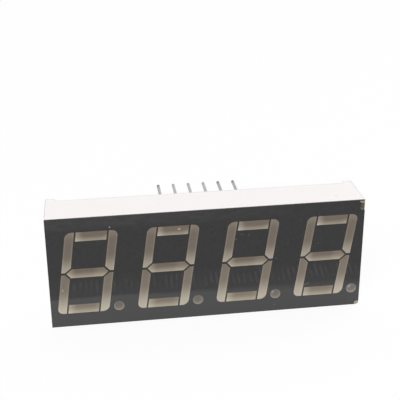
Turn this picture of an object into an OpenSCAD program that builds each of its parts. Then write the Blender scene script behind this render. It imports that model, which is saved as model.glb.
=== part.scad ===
// Four digit, seven segment display module, 12 pins, common 0.56 inch digits.
// It stands on the bottom long wall. X runs along the face, Z up, and the face looks along -Y.

/* [Digits] */
// Distance from one digit to the next
digit_pitch = 12.7; // [12:0.1:18]
// Height of a digit
digit_h = 14.25; // [11:0.05:15]
// Width of a digit, measured level
digit_w = 8.15; // [7:0.05:9.5]
// Lean of the digits to the right, in degrees
digit_lean = 8; // [0:0.5:12]
// Width of an upright segment, measured level
upright_w = 1.4; // [1.1:0.05:1.8]
// Height of a level segment
bar_h = 1.55; // [1.2:0.05:1.9]
// Gap between neighbouring segments
segment_gap = 0.27; // [0.2:0.01:0.4]
// Radius of a digit's outer corners
corner_r = 0.95; // [0.4:0.05:1.3]
// How far the points of the middle bar stop short of the uprights' centre lines
bar_setback = 0.1; // [0:0.05:0.3]
// Diameter of a decimal point
point_d = 1.7; // [1.4:0.05:2]
// Distance from a digit's centre to its decimal point
point_x = 4.7; // [4.5:0.05:5.2]

/* [Case] */
// Distance left between two modules stacked side by side at the digit pitch
stacking_gap = 0.5; // [0:0.1:1.5]
// Height of the case across its face
case_h = 19; // [19:0.1:26]
// Depth from the face to the ends of the standoffs
case_d = 8; // [7.4:0.1:12]
// Thickness of the walls round the board
wall = 0.75; // [0.5:0.05:0.9]
// Draft of the outer walls, in degrees
draft = 0.9; // [0:0.1:1.5]
// Thickness of the dark face film
film_t = 0.2; // [0.1:0.05:0.4]
// How much each side of a light well closes in from face to board
side_inset = 0.2; // [0.05:0.05:0.25]

/* [Standoffs] */
// How far the corner standoffs rise above the walls' rim
standoff_h = 0.8; // [0.4:0.05:1]
// Length of a standoff along each wall, at its end
standoff_l = 1.35; // [1.1:0.05:2]
// Length of the slope from a standoff down to the rim
standoff_slope = 0.45; // [0.1:0.05:1]

/* [Board] */
// Thickness of the circuit board
board_t = 1; // [0.6:0.1:1.2]
// Depth from the rim of the walls down to the board's rear
board_recess = 1.6; // [1.3:0.05:2]
// Space all round the board's edge
board_clear = 0.1; // [0.05:0.05:0.2]
// Thickness of the copper, drawn with its plating
copper_t = 0.05; // [0.03:0.01:0.1]
// Width of bare board round the copper
copper_margin = 0.8; // [0.3:0.05:1]
// How far the copper is etched back from the rim of a hole
etch_back = 0.03; // [0.02:0.01:0.08]
// Width of the etched lines between tracks
groove_w = 0.3; // [0.2:0.02:0.4]
// Diameter of the large plated holes
big_hole_d = 1.6; // [1:0.05:1.7]
// Diameter of the small plated holes
small_hole_d = 1.15; // [0.6:0.05:1.3]

/* [Pins] */
// Diameter of a pin
pin_d = 0.5; // [0.4:0.02:0.6]
// Distance between neighbouring pins
pin_pitch = 2.54; // [2:0.01:3.2]
// Distance between the two rows of pins
row_span = 15.24; // [15:0.02:16]
// Length of the pins past the standoffs
pin_l = 6.8; // [3:0.1:12]
// How far a pin stands out of the board's front
pin_head = 0.3; // [0.1:0.05:0.4]
// Clearance round a pin in its hole in the board
pin_clear = 0.06; // [0.03:0.01:0.1]
// How much thinner a pin is at its head, in the board, than outside the resin
pin_taper = 0.04; // [0.02:0.01:0.08]
// Height of a solder cone above the copper
solder_h = 0.7; // [0.3:0.05:0.8]
// Diameter of a solder cone at its foot
solder_d = 1.2; // [0.9:0.05:1.3]
// Diameter of the copper ring under it
ring_d = 1.6; // [1.4:0.05:1.8]
// Width of the copper strap that joins a ring to its track
strap_w = 0.7; // [0.4:0.05:0.9]

/* [Locating posts] */
// Diameter of the two posts through the board
post_d = 1.3; // [1:0.05:1.6]
// How far the posts stand out of the board's rear
post_rise = 0.75; // [0.3:0.05:1]
// Clearance round a post in its hole
post_clear = 0.1; // [0.05:0.01:0.15]
// Wall left at the board between a post and the wells beside it
post_web = 0.08; // [0.04:0.01:0.2]

/* [Resin] */
// Depth of the clear resin over the board's rear
resin_h = 1; // [0.95:0.05:1.1]
// Height that the resin climbs up walls, pins and posts
meniscus = 0.45; // [0.25:0.05:0.5]

/* [Light sources] */
// Side of a light emitting die
die_w = 0.28; // [0.2:0.01:0.35]
// Height of a die
die_h = 0.2; // [0.15:0.01:0.3]
// Side of the copper pad under a die
die_pad = 0.5; // [0.4:0.02:0.6]
// Side of the copper pad that takes the bond wire
wire_pad = 0.3; // [0.25:0.01:0.35]
// Thickness of both pads
pad_t = 0.04; // [0.02:0.01:0.06]
// Distance from a die to the middle of its wire's pad
bond_span = 0.5; // [0.45:0.01:0.6]
// Diameter of a bond wire
wire_d = 0.03; // [0.02:0.005:0.04]

/* [Hidden] */
DIGITS = [1, 2, 3, 4];
SEGMENTS = ["a", "b", "c", "d", "e", "f", "g", "point"];
PINS = [for (n = [1 : 12]) n];
FILLS = [for (d = DIGITS, s = SEGMENTS) str("digit_", d, "_", s)];
$fn = 48;
over = 0.5;

// Overall sizes: the case is as wide as its digits need when modules stand side by side.
case_w = len(DIGITS) * digit_pitch - stacking_gap;
mid_z = case_h / 2;

// Depths, from the face back. The origin lies midway between the face and the tips of the pins.
face_y = -(case_d + pin_l) / 2;
film_y = face_y + film_t;
seat_y = face_y + case_d;
rim_y = seat_y - standoff_h;
board_rear_y = rim_y - board_recess;
board_front_y = board_rear_y - board_t;
copper_y = board_rear_y + copper_t;
resin_y = board_rear_y + resin_h;
post_y = board_rear_y + post_rise;
tip_y = seat_y + pin_l;

// Outlines that repeat
rear_inset = (case_d - film_t) * tan(draft);
pocket_w = case_w - 2 * (wall + rear_inset);
pocket_h = case_h - 2 * (wall + rear_inset);
hole_r = pin_d / 2 + pin_clear;
head_y = board_front_y - pin_head;
head_room = 0.2;
head_chamfer = 0.3;
post_dome = 0.6;
resin_edge = 0.02;
dish_steps = 5;

// Bare board round each row of pins, and its reach past the end pins
bare_h = 2.1;
bare_past = 1.7;

// Hollow flank of a solder cone, as [share of its height, distance from the pin]
solder_flank = [[0.3, 0.16], [0.7, 0.05]];

// Size of a bond wire's ball and foot against the wire, and the dip of its end, in degrees
ball_size = 1.2;
foot_size = 1.3;
wire_dip = 4;

// Digit outline, upright and centred on the digit
half_w = digit_w / 2;
half_h = digit_h / 2;
inner_w = half_w - upright_w;
bar_end = inner_w - segment_gap;
bar_tip = half_w - upright_w / 2 - bar_setback;
split = 0.7 * segment_gap;
arc_steps = 8;

// Posts stand behind the gaps between the uprights of the end digits, so the wells close in
// at their ends far enough to leave a wall there.
post_x = 1.5 * digit_pitch - (half_w - upright_w / 2);
end_inset = post_d / 2 + post_web - split;
post_root = 0.1;
key_x = pocket_w / 2;

// Tracks lie on a grid of a twentieth of the digit pitch, counted from the board's middle.
grid = digit_pitch / 20;
copper_w = pocket_w - 2 * copper_margin;
copper_h = pocket_h - 2 * copper_margin;
side = copper_w / 2 + over;
low = -copper_h / 2 - over;

// ---- Small functions ----

function digit_x(d) = (d - (len(DIGITS) + 1) / 2) * digit_pitch;
function leant(p) = [p[0] + p[1] * tan(digit_lean), p[1]];
function arc(c, r, a0, a1, n) =
    [for (i = [0 : n]) c + r * [cos(a0 + (a1 - a0) * i / n), sin(a0 + (a1 - a0) * i / n)]];
function unit(v) = v / norm(v);
function left_of(v) = [-v[1], v[0]];
function pin_x(n) = n <= 6 ? (n - 3.5) * pin_pitch : (9.5 - n) * pin_pitch;
function pin_z(n) = mid_z + (n <= 6 ? -row_span / 2 : row_span / 2);
function pin_r(y) = (pin_d - pin_taper * (rim_y - min(y, rim_y)) / (rim_y - head_y)) / 2;

// Outline of the upper right upright, drawn in by i at its sides and e at its lower end
function upright(i, e) = let (
    cut = bar_tip + (segment_gap + e) * sqrt(2),
    corner = [half_w - corner_r, half_h - corner_r]
) concat(
    [[cut - split - e, split + e], [half_w - i, split + e]],
    arc(corner, corner_r - i, 0, 90, arc_steps),
    [[inner_w + i, half_h - i], [inner_w + i, cut - inner_w - i]]
);

// Outlines of the top bar and the middle bar, drawn in by i at their sides and e at their ends
function top_bar(i, e) = [
    [-bar_end + e, half_h - bar_h + i], [bar_end - e, half_h - bar_h + i],
    [bar_end - e, half_h - i], [-bar_end + e, half_h - i]
];
function middle_bar(i, e) = let (
    h = bar_h / 2 - i,
    tip = bar_tip - e * sqrt(2)
) [[-tip, 0], [h - tip, -h], [tip - h, -h], [tip, 0], [tip - h, h], [h - tip, h]];

function point_ring(i) = arc([0, 0], point_d / 2 - i, 0, 345, 23);

// Mirrors an outline and keeps it running the same way round.
function flipped(points, across, up) = let (
    n = len(points) - 1,
    order = across * up > 0 ? [0 : n] : [n : -1 : 0]
) [for (i = order) [across * points[i][0], up * points[i][1]]];

// Outline of segment s at share k of the way from the face to the board, leant, with its
// digit's centre at [0, 0]
function outline(s, k) = let (i = k * side_inset, e = k * end_inset)
    s == "point" ? [for (p = point_ring(i)) p + [point_x, bar_h / 2 - half_h]] :
    [for (p =
        s == "a" ? top_bar(i, e) :
        s == "b" ? upright(i, e) :
        s == "c" ? flipped(upright(i, e), 1, -1) :
        s == "d" ? flipped(top_bar(i, e), 1, -1) :
        s == "e" ? flipped(upright(i, e), -1, -1) :
        s == "f" ? flipped(upright(i, e), -1, 1) :
        middle_bar(i, e)
    ) leant(p)];

// Middle of segment s, where its die sits
function centre(s) = let (
    u = half_w - upright_w / 2,
    v = (half_h + split) / 2,
    bar = half_h - bar_h / 2
)
    s == "a" ? leant([0, bar]) :
    s == "b" ? leant([u, v]) :
    s == "c" ? leant([u, -v]) :
    s == "d" ? leant([0, -bar]) :
    s == "e" ? leant([-u, -v]) :
    s == "f" ? leant([-u, v]) :
    s == "g" ? [0, 0] : [point_x, -bar];

// Direction in which a segment runs, in degrees from level
function run(s) = len(search(s, "bcef")) > 0 && s != "point" ? 90 - digit_lean : 0;

// Outline of a line of width w along points p, with mitred corners and square ends
function stroke(p, w) = let (
    n = len(p) - 1,
    way = [for (i = [0 : n - 1]) unit(p[i + 1] - p[i])],
    off = [for (i = [0 : n])
        i == 0 ? (left_of(way[0]) - way[0]) * w / 2 :
        i == n ? (left_of(way[n - 1]) + way[n - 1]) * w / 2 :
        (left_of(way[i - 1]) + left_of(way[i])) * w / 2 / (1 + way[i - 1] * way[i])],
    back = [for (i = [0 : n])
        i == 0 ? (-left_of(way[0]) - way[0]) * w / 2 :
        i == n ? (-left_of(way[n - 1]) + way[n - 1]) * w / 2 :
        -off[i]]
) concat([for (i = [0 : n]) p[i] + off[i]], [for (i = [n : -1 : 0]) p[i] + back[i]]);

// ---- Placing and extruding ----

// Extrudes an outline drawn in X and Z from depth y0 to depth y1.
module deep(y0, y1) {
    translate([0, y1, 0]) rotate([90, 0, 0]) linear_extrude(y1 - y0) children();
}

// Turns a profile of radius and depth round an axis along Y, standing on depth y.
module turned(x, z, y) {
    translate([x, y, z]) rotate([-90, 0, 0]) rotate_extrude() children();
}

// Straight skin between two outlines of equal count, the front one at y0 and the rear one at y1
module loft(front, rear, y0, y1) {
    n = len(front);
    polyhedron(
        points = concat([for (p = front) [p[0], y0, p[1]]], [for (p = rear) [p[0], y1, p[1]]]),
        faces = concat(
            [[for (i = [n - 1 : -1 : 0]) i]],
            [[for (i = [n : 2 * n - 1]) i]],
            [for (i = [0 : n - 1]) [i, (i + 1) % n, n + (i + 1) % n, n + i]]
        )
    );
}

// ---- Light wells ----

// The tapered space of one segment, from the face to the board, made longer by past at both ends
module well(d, s, past = 0) {
    more = past / (board_front_y - face_y);
    translate([digit_x(d), 0, mid_z])
        loft(outline(s, -more), outline(s, 1 + more), face_y - past, board_front_y + past);
}

module all_wells(past) {
    for (d = DIGITS, s = SEGMENTS) well(d, s, past);
}

// Milky resin that fills one well, cast round its die, pads and bond wire
module fill(d, s) {
    color("#847a6c") difference() {
        well(d, s);
        pads(d, s);
        die(d, s);
        bond_wire(d, s);
    }
}

// ---- Light sources ----

// Puts children at the die of segment s, with X along the segment and Z towards the face.
module at_die(d, s) {
    c = centre(s);
    translate([digit_x(d) + c[0], board_front_y, mid_z + c[1]])
        rotate([90, 0, 0]) rotate([0, 0, run(s)]) children();
}

module square_plate(x, z, w, t) {
    translate([x - w / 2, -w / 2, z]) cube([w, w, t]);
}

module pads(d, s) {
    at_die(d, s) {
        square_plate(-bond_span / 2, 0, die_pad, pad_t);
        square_plate(bond_span / 2, 0, wire_pad, pad_t);
    }
}

module die(d, s) {
    at_die(d, s) square_plate(-bond_span / 2, pad_t, die_w, die_h);
}

// A wire springs from a ball on the die and lands in a flat foot on its pad.
module bond_wire(d, s) {
    top = pad_t + die_h;
    drop = die_h;
    loop_r = (bond_span * bond_span + drop * drop) / (2 * bond_span);
    landing = atan2(-drop, bond_span - loop_r) + wire_dip;
    at_die(d, s) {
        translate([-bond_span / 2, 0, top])
            cylinder(h = wire_d, r = wire_d * ball_size);
        translate([bond_span / 2, 0, pad_t])
            cylinder(h = wire_d, r = wire_d * foot_size);
        translate([loop_r - bond_span / 2, 0, top + wire_d / 2])
            rotate([90, 0, 0]) rotate([0, 0, landing])
                rotate_extrude(angle = 180 - landing)
                    translate([loop_r, 0]) circle(d = wire_d);
    }
}

module front_pads() {
    color("#c8924f") for (d = DIGITS, s = SEGMENTS) pads(d, s);
}

module led_dice(d) {
    color("#b8b4a8") for (s = SEGMENTS) die(d, s);
}

module bond_wires(d) {
    color("#d9b45a") for (s = SEGMENTS) bond_wire(d, s);
}

// ---- Housing ----

// Block with draft on all four walls, from the film back to the standoffs
module drafted_block() {
    w = case_w / 2;
    in = rear_inset;
    intersection() {
        linear_extrude(case_h)
            polygon([[-w, film_y], [w, film_y], [w - in, seat_y], [in - w, seat_y]]);
        translate([-w, 0, 0]) rotate([90, 0, 90]) linear_extrude(case_w)
            polygon([[film_y, 0], [seat_y, in], [seat_y, case_h - in], [film_y, case_h]]);
    }
}

// Gap between two standoffs along a wall: half-length a at the rim, wider at the standoffs' ends
function rim_gap(a, m) = [
    [m - a, rim_y], [m + a, rim_y],
    [m + a + standoff_slope, seat_y], [m + a + standoff_slope, seat_y + over],
    [m - a - standoff_slope, seat_y + over], [m - a - standoff_slope, seat_y]
];

module rim_gaps() {
    a_x = case_w / 2 - rear_inset - standoff_l - standoff_slope;
    a_z = case_h / 2 - rear_inset - standoff_l - standoff_slope;
    translate([0, 0, -over]) linear_extrude(case_h + 2 * over) polygon(rim_gap(a_x, 0));
    translate([-case_w / 2 - over, 0, 0]) rotate([90, 0, 90])
        linear_extrude(case_w + 2 * over) polygon([for (p = rim_gap(a_z, mid_z)) [p[1], p[0]]]);
}

module pocket(y0, y1) {
    deep(y0, y1) translate([0, mid_z]) square([pocket_w, pocket_h], center = true);
}

// Post with a domed end, as high as its tip
module domed_post(x) {
    r = post_d / 2;
    dome = r * post_dome;
    h = post_y - board_front_y;
    turned(x, mid_z, board_front_y)
        polygon(concat(
            [[0, -post_root], [r, -post_root]],
            [for (a = [0 : 15 : 90]) [r * cos(a), h - dome + dome * sin(a)]]
        ));
}

// Half-round rib on one end wall, which keys the board
module key(r, y0, y1) {
    intersection() {
        translate([key_x, y0, mid_z]) rotate([-90, 0, 0]) cylinder(h = y1 - y0, r = r);
        translate([0, y0, 0]) cube([key_x + wall / 2, y1 - y0, case_h]);
    }
}

module housing() {
    color("#f2f0ec") {
        difference() {
            drafted_block();
            all_wells(over);
            pocket(board_front_y, seat_y + over);
            rim_gaps();
            for (n = PINS)
                translate([pin_x(n), head_y - head_room, pin_z(n)])
                    rotate([-90, 0, 0]) cylinder(h = pin_head + over, r = pin_d / 2 + head_room);
        }
        for (x = [-post_x, post_x]) domed_post(x);
        key(post_d / 2, board_front_y - post_root, post_y);
    }
}

// ---- Face film ----

// Corners where the film has chipped away, as [along X, down Z] from each right corner
chip_top = [[1, 1], [-0.75, 1], [-0.6, 0.1], [-0.35, -0.5], [-0.28, -1.4], [0.02, -1.9], [1, -1.9]];
chip_low = [[1, -1], [-0.45, -1], [-0.3, 0.12], [-0.1, 0.4], [0.02, 0.6], [1, 0.6]];

module face_film() {
    color("#3f3f40") difference() {
        deep(face_y, film_y) difference() {
            translate([-case_w / 2, 0]) square([case_w, case_h]);
            translate([case_w / 2, case_h]) polygon(chip_top);
            translate([case_w / 2, 0]) polygon(chip_low);
        }
        all_wells(over);
    }
}

// ---- Circuit board ----

// Plated holes, in grid steps from the board's middle
big_holes = [
    [21.25, 9], [29.5, 4.5], [0.75, 3.25], [19.25, -3], [29.5, -6.5], [-19.5, 3.25], [-19.5, -2.25]
];
small_holes = [
    [11, 7], [18.75, 5], [11.25, -5.5], [21, -9.5], [14.25, -9.25], [33.25, -11], [-10, 5],
    [-30.25, 5], [-30, -6.25], [-2.5, -4.75], [-10.5, -6.25], [-0.25, -2.25]
];

// Holes through the board or the copper, wider by past all round
module plated_holes(past) {
    for (h = big_holes) translate([h[0] * grid, mid_z + h[1] * grid])
        circle(r = big_hole_d / 2 + past);
    for (h = small_holes) translate([h[0] * grid, mid_z + h[1] * grid])
        circle(r = small_hole_d / 2 + past);
}

module post_holes(past) {
    r = post_d / 2 + post_clear + past;
    for (x = [-post_x, post_x]) translate([x, mid_z]) circle(r = r);
    translate([key_x, mid_z]) circle(r = r);
}

module circuit_board() {
    color("#a08a62") deep(board_front_y, board_rear_y) difference() {
        translate([0, mid_z])
            square([pocket_w - 2 * board_clear, pocket_h - 2 * board_clear], center = true);
        plated_holes(0);
        post_holes(0);
        for (n = PINS) translate([pin_x(n), pin_z(n)]) circle(r = hole_r);
    }
}

// Etched lines, in grid steps from the board's middle; side and low run off the copper's edges.
edge = side / grid;
foot = low / grid;
grooves = [
    concat([[edge, 4.5], [31.5, 4.5], [31.5, 1.5], [30.5, 1.5], [27.5, -2], [23, -2]],
        arc([post_x / grid, 0], 2.65, 225, 115, 6),
        [[23.5, 11.5], [18.5, 11.5], [18.5, 10.75], [8, 10.75]]),
    [[35.5, 4.5], [35.5, 0], [31.5, 0], [26.25, -5.25], [16.75, -5.25], [16.75, -3.5],
        [3.25, -3.5], [3.25, -4.25], [-0.75, -4.25], [-1.75, -3.25], [-16.75, -3.25],
        [-16.75, -4.25], [-32.25, -4.25], [-32.25, foot]],
    [[21.75, -5.25], [21.75, -2.5], [20, -0.75], [16.75, -0.75], [16.75, -2], [3.25, -2],
        [3.25, -0.75], [-1.25, -0.75], [-1.25, -1.75], [-6, -1.75], [-6, -0.25], [-22, -0.25],
        [-22, -1.5], [-edge, -1.5]],
    [[22.25, 1.5], [3, 1.5], [3, 1], [-1.25, 1], [-1.25, 3.5], [-6, 3.5], [-6, 1.25],
        [-22, 1.25], [-22, 2.75], [-27, 2.75], [-27, -1.5]],
    [[16, 6.75], [20.5, 6.75], [20.5, 3.25], [3, 3.25], [3, 5.25], [-7.5, 5.25], [-7.5, 3.25],
        [-14.25, 3.25], [-14.25, 5.25], [-22, 5.25], [-22, 4.25], [-28.5, 4.25], [-28.5, 2],
        [-32.25, 2], [-32.25, 7.5]],
    [[-4, 10.75], [-4, 9.25], [16, 9.25], [16, 5], [8.75, 5], [8.75, 7.5], [-edge, 7.5]],
    [[edge, -4.25], [29, -4.25], [27, -6.25], [15.25, -6.25], [14.25, -7.25], [-4.5, -7.25],
        [-4.5, -4.5], [-16.75, -4.5]],
    [[-10.5, -6.25], [-28, -6.25], [-28, foot]],
    [[edge, -8.5], [28.25, -8.5], [27.5, -7.75], [19.5, -7.75], [19.5, -11], [13.5, -11],
        [11, -8.25], [-22.25, -8.25], [-22.25, foot]]
];

// Bare patches round the two rows of pins and in one corner
module bare_patches() {
    for (n = [1, 7]) difference() {
        translate([0, pin_z(n)]) square([5 * pin_pitch + 2 * bare_past, bare_h], center = true);
        for (k = [n : n + 5]) {
            translate([pin_x(k), pin_z(k)]) circle(d = ring_d);
            translate([pin_x(k), pin_z(k) + (n == 1 ? bare_h / 2 : -bare_h / 2)])
                square([strap_w, bare_h + over], center = true);
        }
    }
    translate([25.5 * grid, mid_z + 8 * grid]) square([side, -low]);
}

module rear_copper() {
    color("#a88c5e") deep(board_rear_y, copper_y) difference() {
        translate([0, mid_z]) square([copper_w, copper_h], center = true);
        for (g = grooves) translate([0, mid_z]) polygon(stroke(grid * g, groove_w));
        bare_patches();
        plated_holes(etch_back);
        post_holes(etch_back);
        for (n = PINS) translate([pin_x(n), pin_z(n)]) circle(r = hole_r);
    }
}

// ---- Pins and solder ----

// Round wire whose root narrows from the rim of the walls down to a chamfered head
module pin(n) {
    r = pin_d / 2;
    h = tip_y - head_y;
    c = head_chamfer * r;
    color("#c4c4c2") turned(pin_x(n), pin_z(n), head_y)
        polygon(concat(
            [[0, 0], [pin_r(head_y) - c, 0], [pin_r(head_y + c), c], [r, rim_y - head_y]],
            [for (a = [0 : 15 : 90]) [r * cos(a), h - r + r * sin(a)]]
        ));
}

// Solder fills the hole round each pin and rises in a hollow cone on its pad.
module solder_joints() {
    foot_h = board_t + copper_t;
    color("#b9bcbe") for (n = PINS)
        turned(pin_x(n), pin_z(n), board_front_y)
            polygon(concat(
                [[pin_r(board_front_y), 0], [hole_r, 0], [hole_r, foot_h], [solder_d / 2, foot_h]],
                [for (f = solder_flank) [pin_d / 2 + f[1], foot_h + solder_h * f[0]]],
                [[pin_r(copper_y + solder_h), foot_h + solder_h]]
            ));
}

// ---- Back resin ----

// Hollow cone of resin that climbs a round piece of radius r at x and z, with the resin's level at 0
module climb(x, z, r) {
    w = meniscus;
    turned(x, z, resin_y)
        polygon(concat(
            [[0, -over / 2], [r + w, -over / 2], [r + w, -resin_edge]],
            [for (a = [75 : -15 : 0]) [r + w - w * cos(a), w - w * sin(a)]],
            [[0, w]]
        ));
}

// Air above the resin: its lower edges are round, so the resin climbs the walls.
function dish_profile(w) = concat(
    [[w, meniscus + over], [-w, meniscus + over]],
    arc([meniscus - w, meniscus], meniscus, 180, 270, dish_steps),
    arc([w - meniscus, meniscus], meniscus, 270, 360, dish_steps)
);

module dish() {
    w = pocket_w / 2 - resin_edge;
    h = pocket_h / 2 - resin_edge;
    translate([0, resin_y, mid_z]) intersection() {
        translate([0, 0, -h]) linear_extrude(2 * h) polygon(dish_profile(w));
        translate([-w, 0, 0]) rotate([90, 0, 90]) linear_extrude(2 * w)
            polygon([for (p = dish_profile(h)) [p[1], p[0]]]);
    }
}

module back_resin() {
    color("#b09c78", 0.5) difference() {
        union() {
            difference() {
                pocket(board_front_y, resin_y + meniscus);
                dish();
            }
            for (n = PINS) climb(pin_x(n), pin_z(n), pin_r(resin_y) - resin_edge);
        }
        circuit_board();
        rear_copper();
        solder_joints();
        for (x = [-post_x, post_x]) domed_post(x);
        key(post_d / 2, board_front_y - post_root, post_y);
        for (n = PINS) pin(n);
    }
}

housing();
face_film();
for (d = DIGITS, s = SEGMENTS)
    fill(d, s);
circuit_board();
rear_copper();
front_pads();
solder_joints();
back_resin();
for (d = DIGITS) led_dice(d);
for (d = DIGITS) bond_wires(d);
for (n = PINS) pin(n);
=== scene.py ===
import math
import random

import bmesh
import bpy
from mathutils import Matrix, Vector, noise


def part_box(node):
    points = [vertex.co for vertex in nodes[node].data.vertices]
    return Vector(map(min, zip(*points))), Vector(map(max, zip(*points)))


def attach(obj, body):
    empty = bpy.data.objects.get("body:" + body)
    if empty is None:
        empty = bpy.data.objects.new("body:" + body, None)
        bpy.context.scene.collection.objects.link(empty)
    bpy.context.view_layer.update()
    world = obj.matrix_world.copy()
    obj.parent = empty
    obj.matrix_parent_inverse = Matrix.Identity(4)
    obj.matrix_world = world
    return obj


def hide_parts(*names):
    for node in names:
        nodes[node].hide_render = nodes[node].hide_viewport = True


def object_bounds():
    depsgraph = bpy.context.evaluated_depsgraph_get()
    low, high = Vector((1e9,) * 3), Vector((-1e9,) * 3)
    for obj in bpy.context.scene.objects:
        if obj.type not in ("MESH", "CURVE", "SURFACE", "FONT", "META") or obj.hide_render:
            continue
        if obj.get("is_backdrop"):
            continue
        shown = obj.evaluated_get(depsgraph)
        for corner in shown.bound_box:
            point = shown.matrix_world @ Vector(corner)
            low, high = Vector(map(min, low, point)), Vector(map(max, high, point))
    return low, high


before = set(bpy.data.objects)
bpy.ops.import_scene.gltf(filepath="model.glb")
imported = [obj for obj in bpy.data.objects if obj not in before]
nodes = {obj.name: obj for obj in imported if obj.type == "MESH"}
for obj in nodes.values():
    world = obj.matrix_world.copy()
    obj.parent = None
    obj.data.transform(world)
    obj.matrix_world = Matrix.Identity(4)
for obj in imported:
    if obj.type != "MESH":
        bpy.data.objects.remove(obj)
cad_low, cad_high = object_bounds()
scene = bpy.context.scene
MM = 0.001


# ---- Camera ----
# It stands to the left of the middle of the face and looks down on it, with a long lens. The
# display lies in the lower half of the frame, so the camera aims above it.
camera_data = bpy.data.cameras.new("camera")
camera_data.sensor_width = 36
camera_data.lens = 85.2
camera_data.clip_start = 10 * MM
camera_data.clip_end = 20
camera = bpy.data.objects.new("camera", camera_data)
scene.collection.objects.link(camera)
scene.camera = camera

azimuth = math.radians(-7.72)
elevation = math.radians(24.55)
roll = math.radians(-0.4)
back = Vector((
    math.sin(azimuth) * math.cos(elevation),
    -math.cos(azimuth) * math.cos(elevation),
    math.sin(elevation),
))
camera.matrix_world = (
    Matrix.Translation(Vector((-19.0, -138.5, 81.2)) * MM)
    @ back.to_track_quat("Z", "Y").to_matrix().to_4x4()
    @ Matrix.Rotation(roll, 4, "Z")
)


# ---- Case ----
# The reflector housing is one injection moulding in white-pigmented polycarbonate: light wells in
# front, a tray for the board behind. A fine spark-eroded mould texture makes it satin.
def linear(code):
    """The linear colour of an sRGB hex value."""
    channels = [int(code[i:i + 2], 16) / 255 for i in (1, 3, 5)]
    return [c / 12.92 if c <= 0.04045 else ((c + 0.055) / 1.055) ** 2.4 for c in channels] + [1]


def add(tree, kind, sockets=None, take=None, **settings):
    """Adds a node with its settings, gives each socket a value or a link, and returns an output."""
    node = tree.nodes.new("ShaderNode" + kind)
    for name, value in settings.items():
        setattr(node, name, value)
    for key, value in (sockets or {}).items():
        found = [s for s in node.inputs if s.enabled and s.name == key]
        socket = node.inputs[key] if isinstance(key, int) else found[0]
        if isinstance(value, bpy.types.NodeSocket):
            tree.links.new(value, socket)
        else:
            socket.default_value = value
    shown = [s for s in node.outputs if s.enabled]
    return node.outputs[take] if take else shown[0] if shown else node


def new_material(name):
    material = bpy.data.materials.new(name)
    material.use_nodes = True
    material.node_tree.nodes.clear()
    return material, material.node_tree


def dress(names, material):
    """Gives CAD nodes their finish."""
    for name in names:
        nodes[name].material_slots[0].material = material


def new_piece(name, shape, material):
    """A smooth piece of the object from a bmesh, riding on the one body."""
    mesh = bpy.data.meshes.new(name)
    shape.to_mesh(mesh)
    shape.free()
    mesh.polygons.foreach_set("use_smooth", [True] * len(mesh.polygons))
    mesh.materials.append(material)
    piece = bpy.data.objects.new(name, mesh)
    scene.collection.objects.link(piece)
    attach(piece, "root")
    return piece


def round_marks(tree, place, marks, ragged=0):
    """A mask that is 1 in each round mark, given as x, y, z and radius in mm, with soft edges.

    Where it is ragged, noise draws the outlines about by as much as that, in mm."""
    mask = None
    if ragged:
        stir = add(tree, "TexNoise", {"Vector": place, "Scale": 1 / (0.25 * MM), "Detail": 2},
                   "Color")
        stir = add(tree, "VectorMath", {0: stir, 1: (0.5, 0.5, 0.5)}, operation="SUBTRACT")
        place = add(tree, "VectorMath", {0: stir, 1: [2 * ragged * MM] * 3, 2: place},
                    operation="MULTIPLY_ADD")
    for x, y, z, r in marks:
        far = add(tree, "VectorMath", {0: place, 1: (x * MM, y * MM, z * MM)}, "Value",
                  operation="DISTANCE")
        mark = add(tree, "MapRange", {"Value": far, "From Min": r * MM, "From Max": 0.5 * r * MM},
                   interpolation_type="SMOOTHSTEP")
        mask = mark if mask is None else add(tree, "Math", {0: mask, 1: mark}, operation="MAXIMUM")
    return mask


def marks_at(y, *spots):
    """Round marks on a plane that is square to Y, each given as x, z and radius in mm."""
    return [(x, y, z, r) for x, z, r in spots]


def scuffed(tree, place, dark, pale):
    """A tone that turns from dark to pale in smears a third of a millimetre long."""
    smear = add(tree, "TexNoise", {"Vector": place, "Scale": 1 / (0.35 * MM), "Detail": 3})
    smear = add(tree, "MapRange", {"Value": smear, "From Min": 0.4, "From Max": 0.56})
    return add(tree, "Mix", {"Factor": smear, "A": linear(dark), "B": linear(pale)},
               data_type="RGBA")


case_w, case_h = cad_high.x - cad_low.x, cad_high.z
mid_height = case_h / 2
board_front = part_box("circuit_board")[0].y
film_front, film_back = (corner.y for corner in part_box("face_film"))
# The film is chipped off both right corners. It is torn and whitened at the top one, with the
# glue under it, and the moulding is bared and scuffed to two greys at the low one.
torn = marks_at((film_front + film_back) / 2 / MM, (24.42, 18.74, 0.19), (24.56, 18.7, 0.23),
                (24.7, 18.65, 0.24), (24.86, 18.54, 0.2))
whitened = "#a39892"
bare_moulding = ("#918c7d", "#b3ae9f")


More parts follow.
